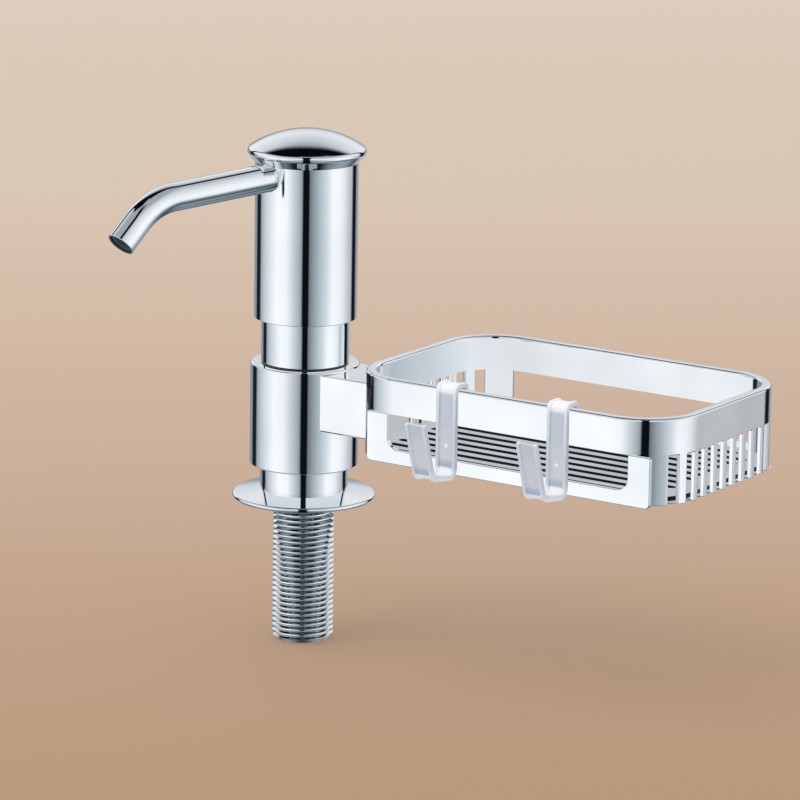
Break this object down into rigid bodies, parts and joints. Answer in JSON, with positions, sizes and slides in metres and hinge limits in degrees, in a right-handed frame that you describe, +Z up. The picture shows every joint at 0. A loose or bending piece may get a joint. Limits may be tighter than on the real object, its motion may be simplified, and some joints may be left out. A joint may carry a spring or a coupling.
{
  "type": "soap dispenser",
  "caption": "Deck-mounted pump soap dispenser with a bent swivelling spout and domed cap, and a swivelling slotted basket on an arm with clip-on hooks",
  "frame": {"origin": "centre of the flange's underside, on the deck and on the shank's axis", "axes": "+Z is up along the dispenser's axis; +X runs along the caddy's arm, from the axis to the basket; +Y is towards the side of the basket without hooks, so the hooks and the spout are on the -Y side"},
  "size_m": [0.178, 0.1452, 0.176],
  "materials": {
    "chrome_body": "polished chrome plate",
    "chrome_head": "polished chrome plate",
    "chrome_caddy": "polished chrome plate on a casting",
    "chrome_fixing": "chrome plate on a cut thread",
    "hook_plastic": "clear moulded plastic, slightly milky",
    "nylon": "moulded nylon",
    "pump_plastic": "moulded polypropylene",
    "piston_plastic": "soft moulded polyethylene",
    "liner_plastic": "moulded tube",
    "seal_rubber": "moulded rubber",
    "valve_steel": "ground steel ball",
    "spring_steel": "drawn stainless wire"
  },
  "bodies": {
    "base": {"threaded_shank": "chrome_fixing", "flange": "chrome_body", "deck_seal": "seal_rubber", "lower_body": "chrome_body", "upper_body": "chrome_body", "guide_ring": "nylon", "pump_collar": "pump_plastic", "stem_seal": "seal_rubber", "pump_housing": "pump_plastic", "housing_gasket": "seal_rubber", "ball_retainer": "pump_plastic", "return_spring": "spring_steel"},
    "inlet_valve": {"inlet_ball": "valve_steel"},
    "plunger": {"pump_stem": "pump_plastic", "piston": "piston_plastic"},
    "outlet_valve": {"outlet_ball": "valve_steel"},
    "head": {"head_core": "nylon", "head_sleeve": "chrome_head", "cap": "chrome_head", "cap_seal": "seal_rubber", "spout": "chrome_head", "spout_liner": "liner_plastic"},
    "caddy": {"caddy_ring": "chrome_caddy", "bush_lower": "nylon", "bush_upper": "nylon", "basket": "chrome_caddy", "front_panel": "chrome_caddy", "floor_grille": "chrome_caddy"},
    "left_hook": {"hook_left": "hook_plastic"},
    "right_hook": {"hook_right": "hook_plastic"}
  },
  "joints": [
    {"name": "pump_press", "type": "slide", "parent": "base", "child": "plunger", "axis": [0, 0, -1], "range_m": [0, 0.013], "stiffness_N_per_m": 400, "springref_m": -0.015, "deforming": ["return_spring"]},
    {"name": "head_swivel", "type": "hinge", "parent": "plunger", "child": "head", "pos_m": [0, 0, 0.1058], "axis": [0, 0, 1], "continuous": true},
    {"name": "caddy_swivel", "type": "hinge", "parent": "base", "child": "caddy", "pos_m": [0, 0, 0.0294], "axis": [0, 0, 1], "continuous": true},
    {"name": "hook_left_slide", "type": "slide", "parent": "caddy", "child": "left_hook", "axis": [1, 0, 0], "range_m": [-0.017, 0.017]},
    {"name": "hook_right_slide", "type": "slide", "parent": "caddy", "child": "right_hook", "axis": [1, 0, 0], "range_m": [-0.017, 0.015]},
    {"name": "inlet_ball_lift", "type": "slide", "parent": "base", "child": "inlet_valve", "axis": [0, 0, 1], "range_m": [0, 0.001]},
    {"name": "outlet_ball_lift", "type": "slide", "parent": "plunger", "child": "outlet_valve", "axis": [0, 0, 1], "range_m": [0, 0.001]}
  ]
}
